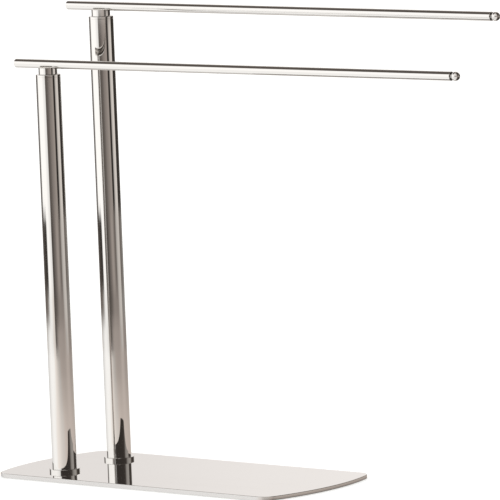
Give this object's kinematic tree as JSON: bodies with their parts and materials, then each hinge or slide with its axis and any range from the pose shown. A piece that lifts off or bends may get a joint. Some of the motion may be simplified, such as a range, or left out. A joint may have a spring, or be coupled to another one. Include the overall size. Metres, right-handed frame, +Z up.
{
  "type": "towel stand",
  "caption": "Freestanding towel stand: polished base plate, a low front post and a taller rear post, each with a thin swivelling bar with a ball at its long end.",
  "frame": {"origin": "centre of the base plate's outline, on the surface that the stand rests on", "axes": "+Z up; +X along the long side of the plate, towards the long free ends of the bars; +Y from the low front post to the tall rear post"},
  "size_m": [0.6678, 0.1868, 0.5355],
  "materials": {
    "mirror_plate": "mirror polished",
    "rubber_pads": "matte",
    "zinc_screws": "zinc plated",
    "chrome_collar": "polished",
    "chrome_tube": "polished",
    "turned_steel": "turned",
    "chrome_cap": "polished",
    "acetal_bush": "moulded",
    "chrome_neck": "polished",
    "chrome_bar": "polished",
    "turned_brass": "turned",
    "chrome_end": "polished",
    "spring_steel": "spring tempered",
    "zinc_washer": "zinc plated"
  },
  "bodies": {
    "base": {"base_plate": "mirror_plate", "foot_pads": "rubber_pads", "base_screws": "zinc_screws", "front_base_collar": "chrome_collar", "front_post_tube": "chrome_tube", "front_foot_plug": "turned_steel", "front_top_cap": "chrome_cap", "front_swivel_bush": "acetal_bush", "rear_base_collar": "chrome_collar", "rear_post_tube": "chrome_tube", "rear_foot_plug": "turned_steel", "rear_top_cap": "chrome_cap", "rear_swivel_bush": "acetal_bush"},
    "front_arm": {"front_neck": "chrome_neck", "front_bar": "chrome_bar", "front_bar_insert": "turned_brass", "front_bar_left_cap": "chrome_end", "front_bar_right_cap": "chrome_end", "front_spring_washer": "spring_steel", "front_stem_washer": "zinc_washer", "front_neck_screw": "zinc_screws"},
    "rear_arm": {"rear_neck": "chrome_neck", "rear_bar": "chrome_bar", "rear_bar_insert": "turned_brass", "rear_bar_left_cap": "chrome_end", "rear_bar_right_cap": "chrome_end", "rear_spring_washer": "spring_steel", "rear_stem_washer": "zinc_washer", "rear_neck_screw": "zinc_screws"}
  },
  "joints": [
    {"name": "front_arm_swivel", "type": "hinge", "parent": "base", "child": "front_arm", "pos_m": [-0.135, -0.0477, 0.4607], "axis": [0, 0, 1], "range_deg": [-255, 75]},
    {"name": "rear_arm_swivel", "type": "hinge", "parent": "base", "child": "rear_arm", "pos_m": [-0.135, 0.0477, 0.519], "axis": [0, 0, 1], "continuous": true}
  ]
}
